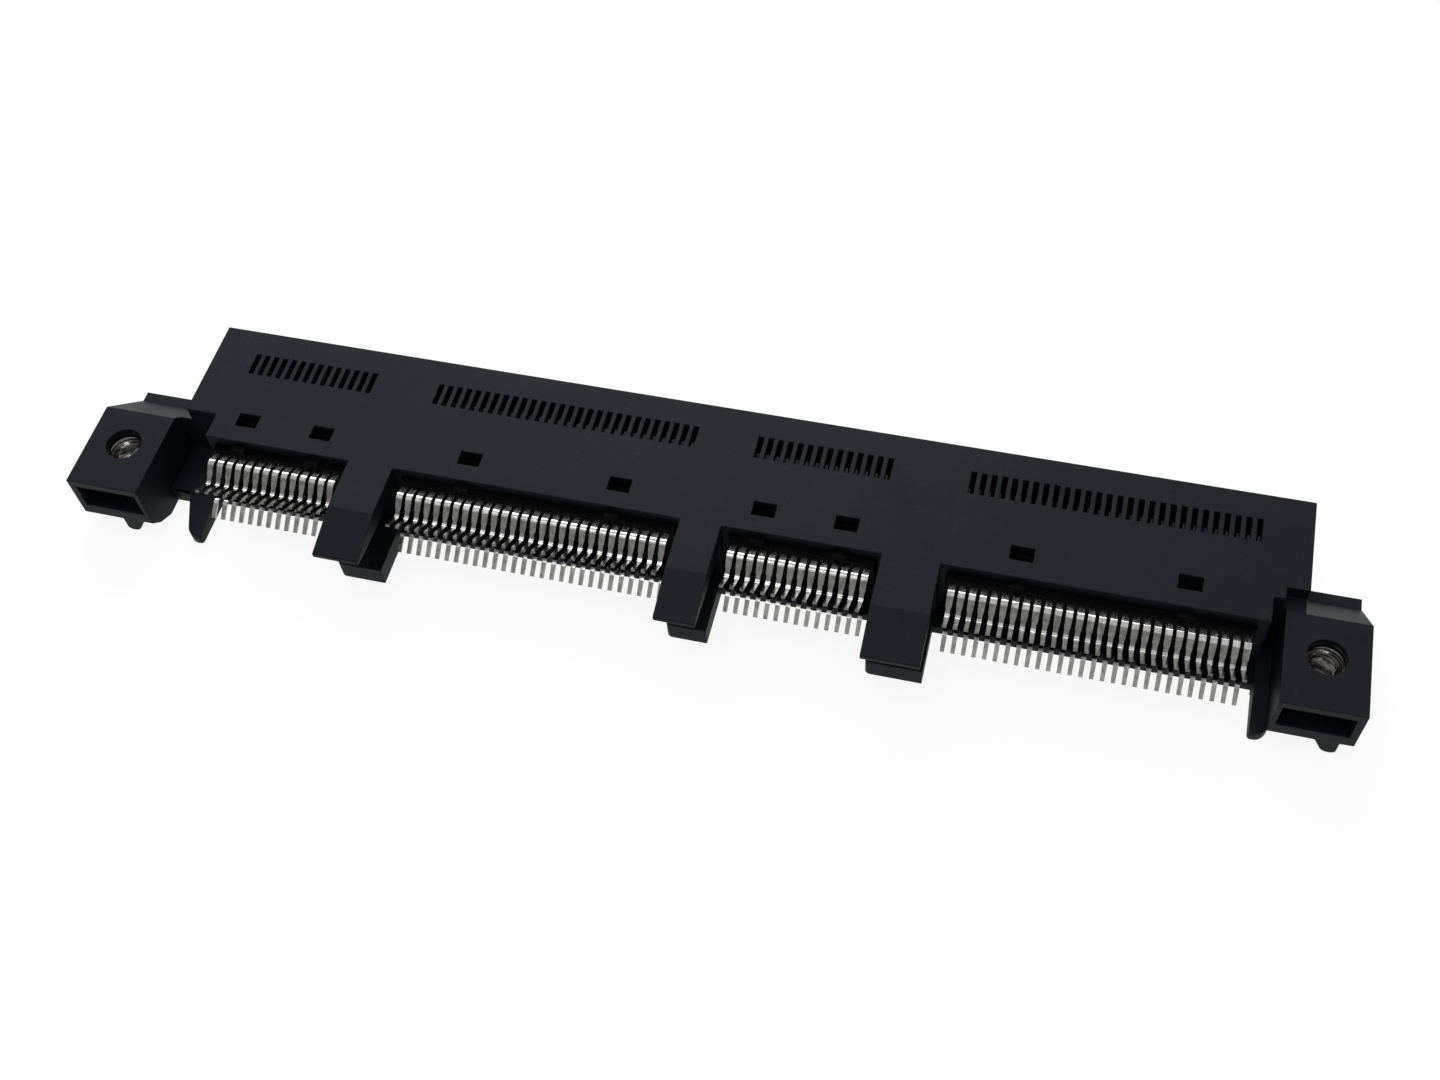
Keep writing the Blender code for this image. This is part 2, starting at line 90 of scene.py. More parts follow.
def put(tree, kind, spot, values=None, **settings):
    # one shader node, with its socket values and its own settings
    node = tree.nodes.new(kind)
    node.location = spot
    for name, value in settings.items():
        setattr(node, name, value)
    for name, value in (values or {}).items():
        node.inputs[name].default_value = value
    return node


def newGroup(name, takes, gives):
    tree = bpy.data.node_groups.new(name, "ShaderNodeTree")
    for label, value in takes:
        socket = tree.interface.new_socket(name=label, in_out="INPUT",
                                           socket_type="NodeSocketFloat")
        socket.default_value = value
    for label in gives:
        tree.interface.new_socket(name=label, in_out="OUTPUT", socket_type="NodeSocketFloat")
    given = put(tree, "NodeGroupInput", (-900, 0))
    result = put(tree, "NodeGroupOutput", (700, 0))
    return tree, given, result


def makeGrain():
    # height of the fine texture, soft patches of tone, and single bright fibres
    sizes = (("Grain Size", 6000), ("Patch Size", 160), ("Fibre Size", 2600))
    tree, given, result = newGroup("mouldedGrain", sizes, ("Height", "Patches", "Fibres"))
    place = put(tree, "ShaderNodeTexCoord", (-900, 300))
    fine = put(tree, "ShaderNodeTexNoise", (-500, 300), {"Detail": 3, "Roughness": 0.6})
    soft = put(tree, "ShaderNodeTexNoise", (-500, 0),
               {"Detail": 2, "Roughness": 0.5, "Distortion": 0.4})
    cells = put(tree, "ShaderNodeTexVoronoi", (-500, -300), {"Randomness": 1})
    spread = put(tree, "ShaderNodeMapRange", (-200, 0), {"From Min": 0.32, "From Max": 0.68})
    dots = put(tree, "ShaderNodeMapRange", (-200, -300), {"From Min": 0.11, "From Max": 0.05})
    for texture, label in ((fine, "Grain Size"), (soft, "Patch Size"), (cells, "Fibre Size")):
        tree.links.new(place.outputs["Object"], texture.inputs["Vector"])
        tree.links.new(given.outputs[label], texture.inputs["Scale"])
    tree.links.new(fine.outputs["Fac"], result.inputs["Height"])
    tree.links.new(soft.outputs["Fac"], spread.inputs["Value"])
    tree.links.new(spread.outputs["Result"], result.inputs["Patches"])
    tree.links.new(cells.outputs["Distance"], dots.inputs["Value"])
    tree.links.new(dots.outputs["Result"], result.inputs["Fibres"])
    return tree


def makeEdgeWear():
    # 1 along rubbed edges, 0 on open faces, broken up by noise
    sizes = (("Reach", 0.00012), ("Breakup", 900))
    tree, given, result = newGroup("edgeWear", sizes, ("Mask",))
    rounded = put(tree, "ShaderNodeBevel", (-600, 200), samples=4)
    plain = put(tree, "ShaderNodeNewGeometry", (-600, 0))
    place = put(tree, "ShaderNodeTexCoord", (-900, -250))
    noise = put(tree, "ShaderNodeTexNoise", (-600, -250), {"Detail": 2})
    turn = put(tree, "ShaderNodeVectorMath", (-350, 100), operation="DOT_PRODUCT")
    rim = put(tree, "ShaderNodeMapRange", (-100, 100), {"From Min": 0.985, "From Max": 0.8})
    gaps = put(tree, "ShaderNodeMapRange", (-100, -250), {"From Min": 0.4, "From Max": 0.65})
    both = put(tree, "ShaderNodeMath", (200, 0), operation="MULTIPLY")
    tree.links.new(given.outputs["Reach"], rounded.inputs["Radius"])
    tree.links.new(given.outputs["Breakup"], noise.inputs["Scale"])
    tree.links.new(place.outputs["Object"], noise.inputs["Vector"])
    tree.links.new(rounded.outputs["Normal"], turn.inputs[0])
    tree.links.new(plain.outputs["Normal"], turn.inputs[1])
    tree.links.new(turn.outputs["Value"], rim.inputs["Value"])
    tree.links.new(noise.outputs["Fac"], gaps.inputs["Value"])
    tree.links.new(rim.outputs["Result"], both.inputs[0])
    tree.links.new(gaps.outputs["Result"], both.inputs[1])
    tree.links.new(both.outputs["Value"], result.inputs["Mask"])
    return tree


def makeDust():
    # thin settled dust on faces that look up
    sizes = (("Amount", 0.3), ("Speck Size", 1500))
    tree, given, result = newGroup("settledDust", sizes, ("Mask",))
    place = put(tree, "ShaderNodeTexCoord", (-900, 200))
    surface = put(tree, "ShaderNodeNewGeometry", (-900, -200))
    noise = put(tree, "ShaderNodeTexNoise", (-600, 200), {"Detail": 4, "Roughness": 0.7})
    specks = put(tree, "ShaderNodeMapRange", (-350, 200), {"From Min": 0.55, "From Max": 0.8})
    parts = put(tree, "ShaderNodeSeparateXYZ", (-600, -200))
    upward = put(tree, "ShaderNodeMapRange", (-350, -200), {"From Min": 0.6, "From Max": 1})
    both = put(tree, "ShaderNodeMath", (-100, 0), operation="MULTIPLY")
    share = put(tree, "ShaderNodeMath", (150, 0), operation="MULTIPLY")
    tree.links.new(place.outputs["Object"], noise.inputs["Vector"])
    tree.links.new(given.outputs["Speck Size"], noise.inputs["Scale"])
    tree.links.new(noise.outputs["Fac"], specks.inputs["Value"])
    tree.links.new(surface.outputs["Normal"], parts.inputs["Vector"])
    tree.links.new(parts.outputs["Z"], upward.inputs["Value"])
    tree.links.new(specks.outputs["Result"], both.inputs[0])
    tree.links.new(upward.outputs["Result"], both.inputs[1])
    tree.links.new(both.outputs["Value"], share.inputs[0])
    tree.links.new(given.outputs["Amount"], share.inputs[1])
    tree.links.new(share.outputs["Value"], result.inputs["Mask"])
    return tree


grainGroup = makeGrain()
edgeGroup = makeEdgeWear()
dustGroup = makeDust()
print("shader groups made")


def newMaterial(name):
    material = bpy.data.materials.new(name)
    material.use_nodes = True
    tree = material.node_tree
    tree.nodes.clear()
    surface = put(tree, "ShaderNodeOutputMaterial", (900, 0))
    shader = put(tree, "ShaderNodeBsdfPrincipled", (600, 0))
    tree.links.new(shader.outputs["BSDF"], surface.inputs["Surface"])
    return material, tree, shader


def useGroup(tree, group, spot, values=None):
    node = put(tree, "ShaderNodeGroup", spot, node_tree=group)
    for name, value in (values or {}).items():
        node.inputs[name].default_value = value
    return node


mixSockets = {"first": 6, "second": 7, "result": 2}    # where a Mix node keeps its colours


def mixColours(tree, spot, mask, first, second):
    # first and second are colours or sockets that carry them
    node = put(tree, "ShaderNodeMix", spot, data_type="RGBA")
    tree.links.new(mask, node.inputs["Factor"])
    for name, colour in (("first", first), ("second", second)):
        socket = node.inputs[mixSockets[name]]
        if isinstance(colour, tuple):
            socket.default_value = (*colour, 1)
        else:
            tree.links.new(colour, socket)
    return node.outputs[mixSockets["result"]]


def makePlastic(name, look):
    material, tree, shader = newMaterial(name)
    grain = useGroup(tree, grainGroup, (-700, 0), {
        "Grain Size": look["grain"], "Patch Size": look["patch"], "Fibre Size": look["fibre"]})
    edges = useGroup(tree, edgeGroup, (-700, -300), {"Reach": look["wearReach"]})
    dust = useGroup(tree, dustGroup, (-700, -500), {"Amount": look["dust"]})
    tone = mixColours(tree, (-400, 200), grain.outputs["Patches"], look["dark"], look["light"])
    fibreShare = put(tree, "ShaderNodeMath", (-450, 0), {1: look["fibreShow"]},
                     operation="MULTIPLY")
    tree.links.new(grain.outputs["Fibres"], fibreShare.inputs[0])
    tone = mixColours(tree, (-200, 200), fibreShare.outputs[0], tone, look["fibreColour"])
    wear = put(tree, "ShaderNodeMath", (-450, -300), {1: look["wear"]}, operation="MULTIPLY")
    tree.links.new(edges.outputs["Mask"], wear.inputs[0])
    tone = mixColours(tree, (0, 200), wear.outputs[0], tone, look["rubbed"])
    tone = mixColours(tree, (200, 200), dust.outputs["Mask"], tone, look["dustColour"])
    tree.links.new(tone, shader.inputs["Base Color"])
    smoothest, roughest = look["rough"]
    rough = put(tree, "ShaderNodeMapRange", (200, -100),
                {"To Min": smoothest, "To Max": roughest})
    tree.links.new(grain.outputs["Patches"], rough.inputs["Value"])
    tree.links.new(rough.outputs["Result"], shader.inputs["Roughness"])
    bump = put(tree, "ShaderNodeBump", (300, -300),
               {"Strength": look["bump"], "Distance": look["bumpDepth"]})
    tree.links.new(grain.outputs["Height"], bump.inputs["Height"])
    tree.links.new(bump.outputs["Normal"], shader.inputs["Normal"])
    shader.inputs["Specular IOR Level"].default_value = look["specular"]
    return material


# glass-filled moulding: dark and light are its two tones, fibres are the glass that shows
housingLook = {
    "dark": (0.0046, 0.0074, 0.0134), "light": (0.0080, 0.0100, 0.0170),
    "grain": 7000, "patch": 170,
    "fibre": 3200, "fibreShow": 0.35, "fibreColour": (0.022, 0.025, 0.032),
    "wear": 0.45, "wearReach": 0.00012, "rubbed": (0.03, 0.033, 0.04),
    "dust": 0.15, "dustColour": (0.04, 0.041, 0.048),
    "rough": (0.46, 0.56), "bump": 0.3, "bumpDepth": 0.00003, "specular": 0.115,
}
# the wafer bars: black plastic, painted darker and less glossy than the moulding as painted shade
# for where they sit under the plate's overhang
barLookPaintedShade = housingLook | {
    "dark": (0.0016, 0.0015, 0.0016), "light": (0.0028, 0.0025, 0.0026),
    "wear": 0.25, "rubbed": (0.03, 0.03, 0.032),
    "dust": 0.03, "rough": (0.45, 0.55), "specular": 0.04,
}
housingPlastic = makePlastic("glassFilledBlack", housingLook)
barPlasticPaintedShade = makePlastic("waferBlackPaintedShade", barLookPaintedShade)


def makePlating(name, look):
    material, tree, shader = newMaterial(name)
    place = put(tree, "ShaderNodeTexCoord", (-1100, 0))
    stretch = put(tree, "ShaderNodeMapping", (-900, 0), {"Scale": look["drawn"]})
    drawn = put(tree, "ShaderNodeTexNoise", (-700, 0),
                {"Scale": look["lines"], "Detail": 2, "Roughness": 0.6})
    tree.links.new(place.outputs["Object"], stretch.inputs["Vector"])
    tree.links.new(stretch.outputs["Vector"], drawn.inputs["Vector"])
    grain = useGroup(tree, grainGroup, (-700, -300),
                     {"Grain Size": look["grain"], "Patch Size": look["patch"]})
    tone = mixColours(tree, (-400, 200), grain.outputs["Patches"], look["dull"], look["bright"])
    if "goldFlashPaintedShade" in look:    # the sprung ends are gold plated, with their gold painted dark as painted shade for the depth of the slots; the solder tails tinned
        parts = put(tree, "ShaderNodeSeparateXYZ", (-700, 400))
        reach = put(tree, "ShaderNodeMapRange", (-500, 400), {
            "From Min": look["flashFrom"] - look["flashBlend"],
            "From Max": look["flashFrom"] + look["flashBlend"]})
        tree.links.new(place.outputs["Object"], parts.inputs["Vector"])
        tree.links.new(parts.outputs["Y"], reach.inputs["Value"])
        tone = mixColours(tree, (-200, 300), reach.outputs["Result"], tone, look["goldFlashPaintedShade"])
    tree.links.new(tone, shader.inputs["Base Color"])
    smoothest, roughest = look["rough"]
    rough = put(tree, "ShaderNodeMapRange", (-200, -100),
                {"From Min": 0.3, "From Max": 0.7, "To Min": smoothest, "To Max": roughest})
    tree.links.new(drawn.outputs["Fac"], rough.inputs["Value"])
    tree.links.new(rough.outputs["Result"], shader.inputs["Roughness"])
    both = put(tree, "ShaderNodeMath", (-200, -350), operation="ADD")
    tree.links.new(drawn.outputs["Fac"], both.inputs[0])
    tree.links.new(grain.outputs["Height"], both.inputs[1])
    bump = put(tree, "ShaderNodeBump", (200, -300),
               {"Strength": look["bump"], "Distance": look["bumpDepth"]})
    tree.links.new(both.outputs[0], bump.inputs["Height"])
    tree.links.new(bump.outputs["Normal"], shader.inputs["Normal"])
    shader.inputs["Metallic"].default_value = 1
    return material


# drawn stretches the fine lines that drawing or turning leaves in the metal
contactLook = {
    "dull": (0.31, 0.306, 0.297), "bright": (0.52, 0.515, 0.5),
    # the gold of the sprung ends is painted dark: painted shade for where they sit deep in the
    # housing's slots
    "goldFlashPaintedShade": (0.13, 0.085, 0.035), "flashFrom": 0.0028, "flashBlend": 0.0002,
    "drawn": (1, 0.12, 1), "lines": 9000, "grain": 9000, "patch": 2500,
    "rough": (0.16, 0.3), "bump": 0.1, "bumpDepth": 0.00001,
}
insertLook = {
    "dull": (0.16, 0.157, 0.15), "bright": (0.5, 0.495, 0.48),
    "drawn": (1, 1, 0.1), "lines": 2500, "grain": 3000, "patch": 700,
    "rough": (0.1, 0.2), "bump": 0.01, "bumpDepth": 0.00001,
}
contactPlating = makePlating("tinnedContact", contactLook)
insertPlating = makePlating("platedInsert", insertLook)
print("materials made")


# The moulding: each kind of corner has its rounding and its number of segments, and the
# other values say where such corners are. Edges under the shortest are left alone.
housing = {
    "edge": (0.05, 2), "sharpFrom": 25, "foldFrom": 0.08, "foldLength": 1,
    "shortest": 0.5, "lean": 0.01, "leftward": -0.9, "merge": 1e-4,
    "legTip": (0.2, 3), "legX": ((-33.4, -30.2), (30.2, 34.4)), "legY": -4.9, "legTop": 1.4,
    "pegTip": (0.3, 4), "pegX": 33.8, "pegY": -4, "pegTop": 0.2,
    "armCorner": (0.3, 4), "armY": -5.5, "armTop": 1.5,
}


def upright(edge):
    a, b = (v.co for v in edge.verts)
    return abs(a.z - b.z) > housing["shortest"] and (a.xy - b.xy).length < housing["lean"]


def highest(edge):
    return max(v.co.z for v in edge.verts)


def onLegTip(edge):
    spot = edge.verts[0].co
    return (upright(edge) and spot.y < housing["legY"] and highest(edge) < housing["legTop"]
            and any(low < spot.x < high for low, high in housing["legX"]))


def onPegTip(edge):
    a, b = (v.co for v in edge.verts)
    inPeg = all(spot.y < housing["pegY"] and abs(spot.x) > housing["pegX"] for spot in (a, b))
    return inPeg and highest(edge) < housing["pegTop"] and abs(a.y - b.y) > housing["shortest"]


def onArmCorner(edge):
    facesLeft = any(face.normal.x < housing["leftward"] for face in edge.link_faces)
    return (upright(edge) and edge.verts[0].co.y < housing["armY"]
            and highest(edge) < housing["armTop"] and facesLeft)


def isSharp(edge):
    # true corners, and the long shallow folds across the ribs
    angle = edge.calc_face_angle(0)
    length = abs(edge.verts[0].co.x - edge.verts[1].co.x)
    return (angle > math.radians(housing["sharpFrom"])
            or (angle > housing["foldFrom"] and length > housing["foldLength"]))


def makeHousing():
    bm = bmesh.new()
    bm.from_mesh(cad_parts["housing"].data)
    bmesh.ops.remove_doubles(bm, verts=bm.verts, dist=1e-6)
    bmesh.ops.dissolve_limit(bm, angle_limit=math.radians(1), verts=bm.verts, edges=bm.edges)
    bmesh.ops.scale(bm, vec=(1 / mm, 1 / mm, 1 / mm), verts=bm.verts)
    legTips = [edge for edge in bm.edges if onLegTip(edge)]
    pegTips = [edge for edge in bm.edges if onPegTip(edge)]
    armCorners = [edge for edge in bm.edges if onArmCorner(edge)]
    softenCorners(bm, legTips, *housing["legTip"])
    softenCorners(bm, pegTips, *housing["pegTip"])
    softenCorners(bm, armCorners, *housing["armCorner"])
    sharp = [edge for edge in bm.edges if isSharp(edge)]
    softenCorners(bm, sharp, *housing["edge"])
    # where two roundings meet, slivers with no area are left: they are merged away
    bmesh.ops.remove_doubles(bm, verts=bm.verts, dist=housing["merge"])
    stray = [face for face in bm.faces if any(edge.is_boundary for edge in face.edges)]
    bmesh.ops.delete(bm, geom=stray, context="FACES")
    print("corners softened:", len(legTips), len(pegTips), len(armCorners), len(sharp))
    piece = addPiece("housingMoulding", bm, housingPlastic, ["housing"],
                     sharpAngle=50)
    evenOut(piece)


makeHousing()
print("housing made")


# A wafer is a plastic bar with its row of contacts. The sizes of catches and stops are
# width, length and rise, and what differs from bay to bay is in bay order.
bar = {
    "front": 2.765, "rear": -1.515, "upper": (2.85, 4.85), "lower": (0.75, 2.75),
    "edge": (0.05, 2), "root": 0.2,
    "catchSize": (1.0, 0.7, 0.35), "catchRear": 0.16,
    "stopSize": (0.9, 0.45, 0.36), "stopRear": -1.515,
    "windowFromMiddle": (2.43, 4.65, 2.43, 4.65), "windowShift": (-0.17, 0.04, -0.17, 0.04),
}
contact = {
    "pitch": 0.6, "count": (14, 28, 14, 28), "fromBarEnd": 0.4,
    "thickness": 0.15, "bend": 0.3, "stepsPerBend": 3, "leastTurn": 0.1,
    # (y, z, width) from the sprung tip to the end of the solder tail
    "upper": ((5.565, 4.45, 0.24), (4.885, 3.525, 0.24), (2.065, 4.5, 0.28),
              (-1.085, 4.5, 0.36), (-2.435, 5.0, 0.38), (-3.0, 4.5, 0.34),
              (-3.13, 4.38, 0.26), (-3.485, 4.07, 0.27), (-4.635, 4.94, 0.24)),
    "lower": ((5.565, 1.15, 0.24), (4.885, 2.075, 0.24), (2.065, 1.1, 0.28),
              (-1.085, 1.1, 0.36), (-2.435, 1.6, 0.38), (-3.0, 2.1, 0.34),
              (-3.13, 2.22, 0.26), (-3.485, 2.53, 0.27), (-4.44, 1.86, 0.24)),
}


def makeBar(bay, row):
    node = f"{row}_wafer_{bay + 1}"
    low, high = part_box(node)
    x = (low.x / mm, high.x / mm)
    z = bar[row]
    bm = bmesh.new()
    addBlock(bm, x, (bar["rear"], bar["front"]), z)
    middle = (x[0] + x[1]) / 2 + bar["windowShift"][bay]
    up = 1 if row == "upper" else -1
    face = z[1] if row == "upper" else z[0]    # the face that the catches stand on
    for side in (-1, 1):
        centre = middle + side * bar["windowFromMiddle"][bay]
        width, length, rise = bar["catchSize"]
        rear = bar["catchRear"]
        bottom, top = sorted((face - bar["root"] * up, face + rise * up))
        corners = addBlock(bm, (centre - width / 2, centre + width / 2), (rear, rear + length),
                           (bottom, top))
        lead = [v for v in corners if v.co.y > rear + length / 2 and (v.co.z - face) * up > 0]
        bmesh.ops.translate(bm, vec=(0, 0, -rise * up), verts=lead)    # a slope, to snap in
        if row == "upper":
            width, length, rise = bar["stopSize"]
            rear = bar["stopRear"]
            addBlock(bm, (centre - width / 2, centre + width / 2), (rear, rear + length),
                     (face - bar["root"], face + rise))
    softenCorners(bm, bm.edges[:], *bar["edge"])
    piece = addPiece(f"{row}Bar{bay + 1}", bm, barPlasticPaintedShade, [node])
    evenOut(piece)


def bentStrip(bm, points, thickness, radius, steps):
    # straight runs between the points are extruded, and the bends at them are spun
    spots = [Vector((0, y, z)) for y, z, width in points]
    ways = [(after - before).normalized() for before, after in zip(spots, spots[1:])]
    lengths = [(after - before).length for before, after in zip(spots, spots[1:])]
    turns = [math.atan2(a.cross(b).x, a.dot(b)) for a, b in zip(ways, ways[1:])]
    trims = [radius * math.tan(abs(turn) / 2) for turn in turns]
    corners = bmesh.ops.create_grid(bm, x_segments=1, y_segments=1, size=0.5)["verts"]
    bmesh.ops.scale(bm, vec=(points[0][2], thickness, 1), verts=corners)
    across = Vector((1, 0, 0))
    frameTurn = Matrix((across, ways[0].cross(across), ways[0])).transposed()
    bmesh.ops.rotate(bm, cent=(0, 0, 0), matrix=frameTurn, verts=corners)
    bmesh.ops.translate(bm, vec=spots[0], verts=corners)
    end = corners[0].link_faces[0]
    runEnds = []
    for index, way in enumerate(ways):
        run = lengths[index] - sum(trims[max(index - 1, 0):index + 1])
        whole = [end, *end.edges, *end.verts]    # with its edges, so that no face is left inside
        grown = bmesh.ops.extrude_face_region(bm, geom=whole)["geom"]
        end = next(item for item in grown if isinstance(item, bmesh.types.BMFace))
        bmesh.ops.translate(bm, vec=way * run, verts=end.verts)
        bmesh.ops.scale(bm, vec=(points[index + 1][2] / points[index][2], 1, 1), verts=end.verts)
        runEnds += end.edges
        if index < len(turns) and abs(turns[index]) > contact["leastTurn"]:
            side = 1 if turns[index] > 0 else -1
            centre = end.calc_center_median() + across.cross(way) * radius * side
            whole = [end, *end.edges, *end.verts]
            swept = bmesh.ops.spin(bm, geom=whole, cent=centre, axis=across,
                                   angle=turns[index], steps=steps, use_duplicate=False)
            end = next(item for item in swept["geom_last"] if isinstance(item, bmesh.types.BMFace))
            runEnds += end.edges
    for edge in runEnds:    # straight runs stay flat beside their bends
        edge.smooth = False


def onlyPoints(geometry):
    return [item for item in geometry if isinstance(item, bmesh.types.BMVert)]


def makeContacts(bay, row):
    node = f"{row}_wafer_{bay + 1}"
    low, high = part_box(node)
    first = low.x / mm + contact["fromBarEnd"]
    bm = bmesh.new()
    bentStrip(bm, contact[row], contact["thickness"], contact["bend"], contact["stepsPerBend"])
    bmesh.ops.recalc_face_normals(bm, faces=bm.faces)
    one = bm.verts[:] + bm.edges[:] + bm.faces[:]
    for index in range(1, contact["count"][bay]):
        copied = bmesh.ops.duplicate(bm, geom=one)["geom"]
        bmesh.ops.translate(bm, vec=(first + index * contact["pitch"], 0, 0),
                            verts=onlyPoints(copied))
    bmesh.ops.translate(bm, vec=(first, 0, 0), verts=onlyPoints(one))
    addPiece(f"{row}Contacts{bay + 1}", bm, contactPlating, [node])


for bay in range(len(contact["count"])):
    for row in ("upper", "lower"):
        makeBar(bay, row)
        makeContacts(bay, row)
print("wafers and contacts made")


# Threaded inserts under the screw holes. The thread starts threadFrom above the bottom, and
# its tooth has its tip and its upper edge at these shares of the pitch.
insert = {
    "outer": 1.3, "bore": 0.82, "top": 4.05, "bottom": 0.3, "round": 0.1, "mouth": 0.2,
    "pitch": 0.45, "threadDepth": 0.16, "threadRoot": 0.02, "threadFrom": 0.2,
    "toothTip": 0.4, "toothTop": 0.8, "steps": 32, "middleY": -2.065,
}


def makeInsert(side):
    node = f"{side}_insert"
    low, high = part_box(node)
    centre = Vector(((low.x + high.x) / 2 / mm, insert["middleY"], 0))
    bm = bmesh.new()
    # sleeve: the outline of its wall, spun round
    outer, bore, soft, mouth = (insert[key] for key in ("outer", "bore", "round", "mouth"))
    top, bottom, steps = insert["top"], insert["bottom"], insert["steps"]
    outline = ((bore + mouth, top), (outer - soft, top), (outer, top - soft),
               (outer, bottom), (bore, bottom), (bore, top - mouth))
    points = [bm.verts.new((r, 0, z)) for r, z in outline]
    rim = [bm.edges.new((a, b)) for a, b in zip(points, points[1:] + points[:1])]
    bmesh.ops.spin(bm, geom=rim, cent=(0, 0, 0), axis=(0, 0, 1), angle=math.tau, steps=steps,
                   use_merge=True, use_duplicate=False)
    bmesh.ops.remove_doubles(bm, verts=bm.verts, dist=1e-4)
    # thread: a small tooth spun up the bore, with half as many steps to a turn
    pitch = insert["pitch"]
    root = bore + insert["threadRoot"]
    tip = root - insert["threadDepth"]
    start = bottom + insert["threadFrom"]
    corners = ((root, start), (tip, start + pitch * insert["toothTip"]),
               (root, start + pitch * insert["toothTop"]))
    tooth = bm.faces.new([bm.verts.new((r, 0, z)) for r, z in corners])
    turns = math.floor((top - start - pitch) / pitch)
    bmesh.ops.spin(bm, geom=[tooth], cent=(0, 0, 0), axis=(0, 0, 1), angle=math.tau * turns,
                   steps=steps * turns // 2, dvec=(0, 0, pitch / (steps / 2)),
                   use_duplicate=False)
    bmesh.ops.translate(bm, vec=centre, verts=bm.verts)
    addPiece(f"{side}Insert", bm, insertPlating, [node], sharpAngle=45)


makeInsert("left")
makeInsert("right")
print("inserts made")


# White paper and a plain sky. The plain values are how much of plain white the camera and
# gloss see in place of the lit surface, so that the floor keeps the shadow.
stage = {
    "floorSize": 2.4, "paper": (0.7, 0.7, 0.7), "plainLevel": 1.12,
    "seenPlain": 0.8, "glossPlain": 0.68, "glossWorld": 0.2,
    "horizon": 0.15, "zenith": 1.0, "riseFrom": 0.6, "riseTo": 0.97,
}


def makeFloor():
    bm = bmesh.new()
    bmesh.ops.create_grid(bm, x_segments=1, y_segments=1, size=stage["floorSize"] / 2)
    mesh = bpy.data.meshes.new("floor")
    bm.to_mesh(mesh)
    bm.free()
    floor = bpy.data.objects.new("floor", mesh)
    bpy.context.scene.collection.objects.link(floor)
    material = bpy.data.materials.new("whitePaper")
    material.use_nodes = True
    tree = material.node_tree
    tree.nodes.clear()
    surface = put(tree, "ShaderNodeOutputMaterial", (800, 0))
    paper = put(tree, "ShaderNodeBsdfDiffuse", (-100, 100), {"Color": (*stage["paper"], 1)})
    white = put(tree, "ShaderNodeEmission", (-100, -100),
                {"Color": (1, 1, 1, 1), "Strength": stage["plainLevel"]})
    rays = put(tree, "ShaderNodeLightPath", (-700, 300))
    either = put(tree, "ShaderNodeMath", (-500, 200), operation="MAXIMUM")
    gloss = put(tree, "ShaderNodeMath", (-350, 200), {1: stage["glossPlain"]},
                operation="MULTIPLY")
    seen = put(tree, "ShaderNodeMath", (-350, 400), {1: stage["seenPlain"]},
               operation="MULTIPLY")
    share = put(tree, "ShaderNodeMath", (-150, 300), operation="ADD")
    whole = put(tree, "ShaderNodeMixShader", (200, 0))
    clear = put(tree, "ShaderNodeBsdfTransparent", (200, -200))
    under = put(tree, "ShaderNodeNewGeometry", (200, 300))
    final = put(tree, "ShaderNodeMixShader", (500, 0))
    tree.links.new(rays.outputs["Is Glossy Ray"], either.inputs[0])
    tree.links.new(rays.outputs["Is Transmission Ray"], either.inputs[1])
    tree.links.new(either.outputs[0], gloss.inputs[0])
    tree.links.new(rays.outputs["Is Camera Ray"], seen.inputs[0])
    tree.links.new(gloss.outputs[0], share.inputs[0])
    tree.links.new(seen.outputs[0], share.inputs[1])
    tree.links.new(share.outputs[0], whole.inputs["Fac"])
    tree.links.new(paper.outputs[0], whole.inputs[1])
    tree.links.new(white.outputs[0], whole.inputs[2])
    tree.links.new(under.outputs["Backfacing"], final.inputs["Fac"])    # clear from below
    tree.links.new(whole.outputs[0], final.inputs[1])
    tree.links.new(clear.outputs[0], final.inputs[2])
    tree.links.new(final.outputs[0], surface.inputs["Surface"])
    mesh.materials.append(material)


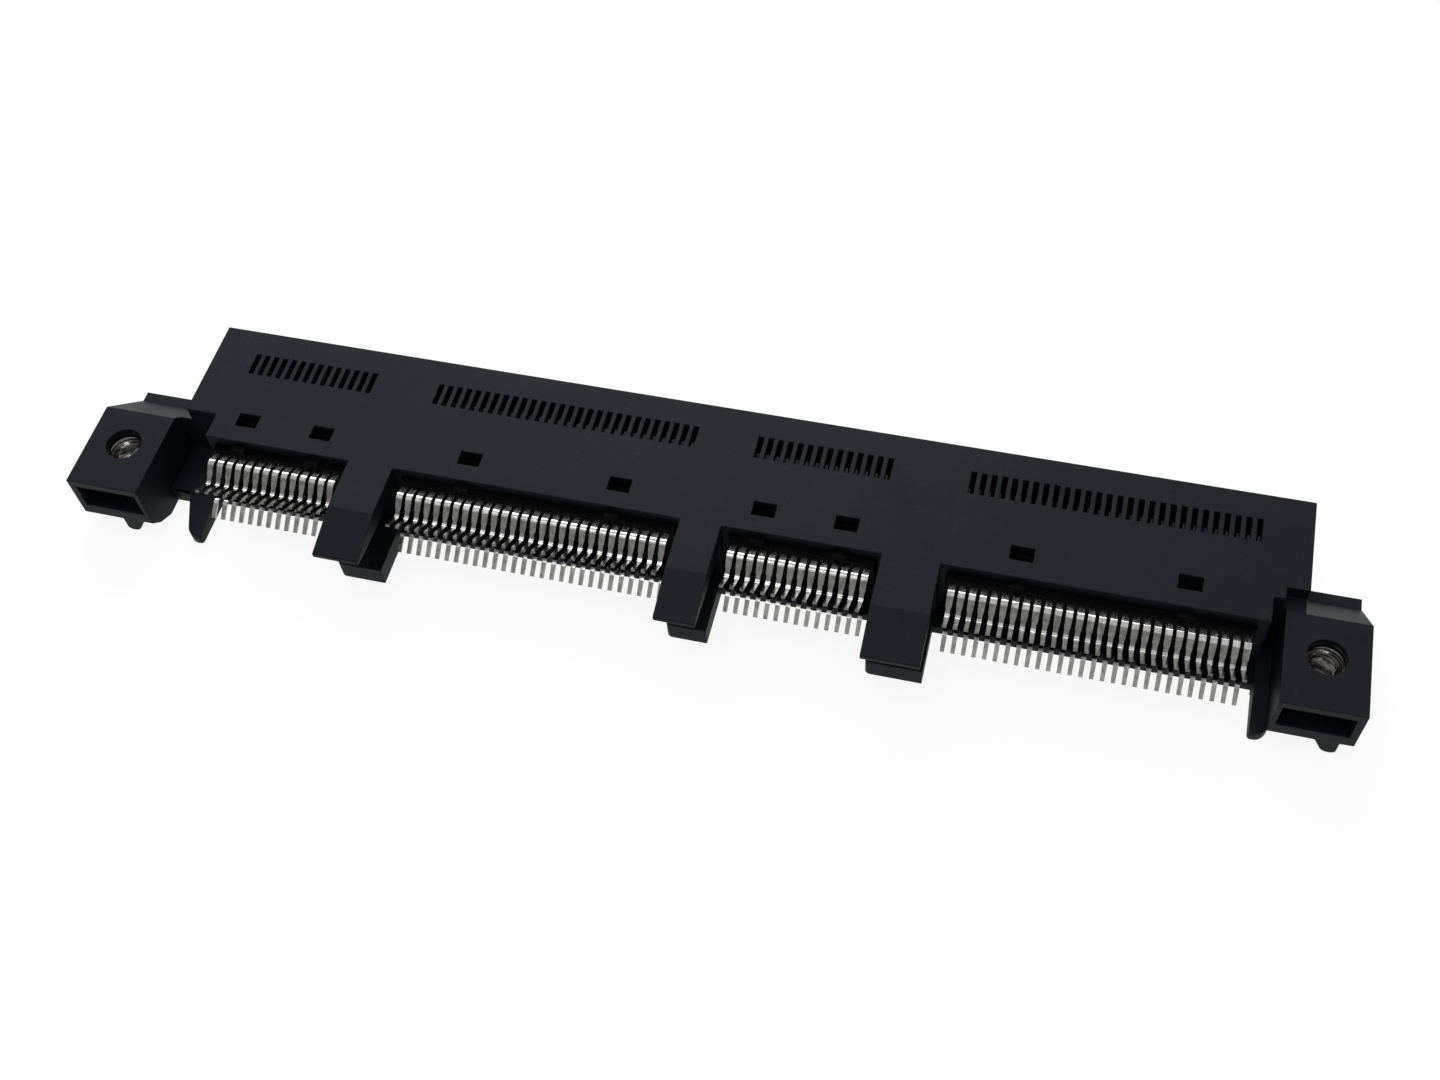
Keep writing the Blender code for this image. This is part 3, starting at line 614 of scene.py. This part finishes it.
def makeWorld():
    # brighter overhead than at the horizon, plain white to the camera and partly so in gloss
    world = bpy.data.worlds.new("studio")
    world.use_nodes = True
    tree = world.node_tree
    tree.nodes.clear()
    surface = put(tree, "ShaderNodeOutputWorld", (600, 0))
    place = put(tree, "ShaderNodeTexCoord", (-700, 100))
    parts = put(tree, "ShaderNodeSeparateXYZ", (-500, 100))
    level = put(tree, "ShaderNodeMapRange", (-300, 100), {
        "From Min": stage["riseFrom"], "From Max": stage["riseTo"],
        "To Min": stage["horizon"], "To Max": stage["zenith"]}, interpolation_type="SMOOTHSTEP")
    light = put(tree, "ShaderNodeBackground", (0, 100), {"Color": (1, 1, 1, 1)})
    white = put(tree, "ShaderNodeBackground", (0, -100),
                {"Color": (1, 1, 1, 1), "Strength": 1})
    rays = put(tree, "ShaderNodeLightPath", (-500, 400))
    either = put(tree, "ShaderNodeMath", (-300, 400), operation="MAXIMUM")
    gloss = put(tree, "ShaderNodeMath", (-150, 400), {1: stage["glossWorld"]},
                operation="MULTIPLY")
    share = put(tree, "ShaderNodeMath", (0, 300), operation="MAXIMUM")
    whole = put(tree, "ShaderNodeMixShader", (300, 0))
    tree.links.new(place.outputs["Generated"], parts.inputs["Vector"])
    tree.links.new(parts.outputs["Z"], level.inputs["Value"])
    tree.links.new(level.outputs["Result"], light.inputs["Strength"])
    tree.links.new(rays.outputs["Is Glossy Ray"], either.inputs[0])
    tree.links.new(rays.outputs["Is Transmission Ray"], either.inputs[1])
    tree.links.new(either.outputs[0], gloss.inputs[0])
    tree.links.new(rays.outputs["Is Camera Ray"], share.inputs[0])
    tree.links.new(gloss.outputs[0], share.inputs[1])
    tree.links.new(share.outputs[0], whole.inputs["Fac"])
    tree.links.new(light.outputs[0], whole.inputs[1])
    tree.links.new(white.outputs[0], whole.inputs[2])
    tree.links.new(whole.outputs[0], surface.inputs["Surface"])
    bpy.context.scene.world = world


lamps = (
    {"name": "backBox", "at": (-0.07, 0.22, 0.2), "size": (0.26, 0.1), "watts": 0.5,
     "colour": (0.97, 0.98, 1)},
    {"name": "topLamp", "at": (-0.06, -0.03, 0.3), "size": (0.07, 0.05), "watts": 0.07,
     "colour": (1, 0.99, 0.97)},
)


def makeLamps():
    for lamp in lamps:
        light = bpy.data.lights.new(lamp["name"], "AREA")
        light.shape = "RECTANGLE"
        light.size, light.size_y = lamp["size"]
        light.energy = lamp["watts"]
        light.color = lamp["colour"]
        holder = bpy.data.objects.new(lamp["name"], light)
        holder.location = lamp["at"]
        holder.rotation_euler = (-Vector(lamp["at"])).to_track_quat("-Z", "Y").to_euler()
        bpy.context.scene.collection.objects.link(holder)


# the view that was fitted to the photograph: right, up and back are the camera's own axes
view = {
    "sensor": 36, "lens": 42.81, "shift": (0.0029, -0.0033), "clip": (0.005, 10),
    "at": (0.01935, -0.053635, 0.08685), "right": (0.9689, 0.2411, -0.0561),
    "up": (-0.1702, 0.8133, 0.5564), "back": (0.1798, -0.5296, 0.8290),
}


def makeCamera():
    camera = bpy.data.cameras.new("photoView")
    camera.sensor_width = view["sensor"]
    camera.lens = view["lens"]
    camera.shift_x, camera.shift_y = view["shift"]
    camera.clip_start, camera.clip_end = view["clip"]
    holder = bpy.data.objects.new("photoView", camera)
    turn = Matrix((view["right"], view["up"], view["back"])).transposed()
    holder.matrix_world = Matrix.Translation(view["at"]) @ turn.to_4x4()
    bpy.context.scene.collection.objects.link(holder)
    bpy.context.scene.camera = holder
    print("camera angles:", [round(math.degrees(a), 3) for a in turn.to_euler()])


makeFloor()
makeWorld()
makeLamps()
makeCamera()
bpy.context.scene.view_settings.view_transform = "Standard"
print("stage, light and camera made")
